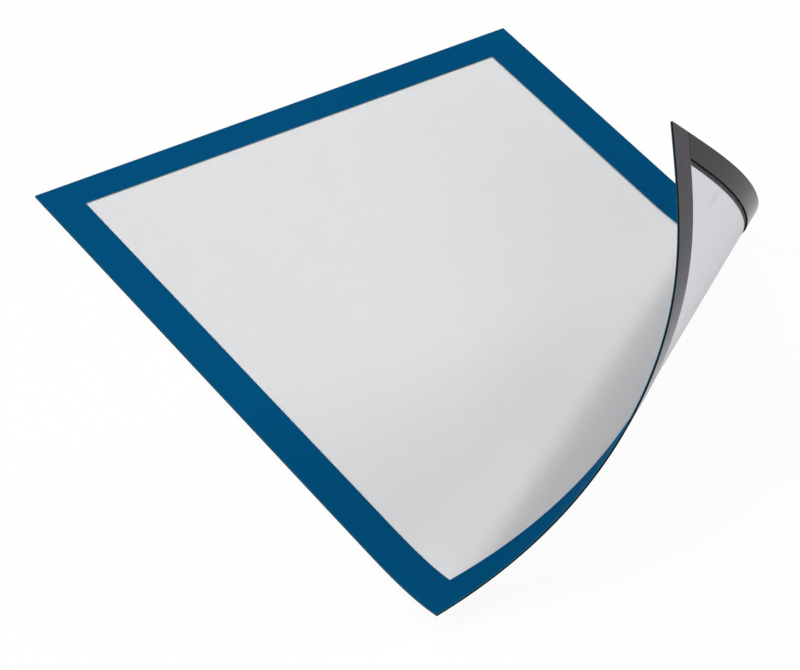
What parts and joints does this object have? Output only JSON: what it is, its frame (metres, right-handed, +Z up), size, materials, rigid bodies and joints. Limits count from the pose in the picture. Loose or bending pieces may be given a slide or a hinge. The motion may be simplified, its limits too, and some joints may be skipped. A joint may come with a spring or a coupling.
{
  "type": "magnetic display frame",
  "caption": "Thin magnetic frame for a sheet of paper: coloured border foil on a clear cover film, with magnet strips behind. It lies flat with a curled corner.",
  "frame": {"origin": "on the table, under the middle of the whole frame as it lies", "axes": "+X along the long side towards the short side whose far corner is curled, +Y along the short side towards the curled corner, +Z up from the table through the front face"},
  "size_m": [0.3228, 0.2364, 0.1166],
  "materials": {
    "border_foil": "satin",
    "cover_film": "satin",
    "insert_sheet": "matte",
    "magnet_strip": "satin"
  },
  "bodies": {
    "root": {"border_foil": "border_foil", "cover_film": "cover_film", "insert_sheet": "insert_sheet", "magnet_strip_left": "magnet_strip", "magnet_strip_right": "magnet_strip", "magnet_strip_near": "magnet_strip", "magnet_strip_far": "magnet_strip"}
  },
  "joints": []
}
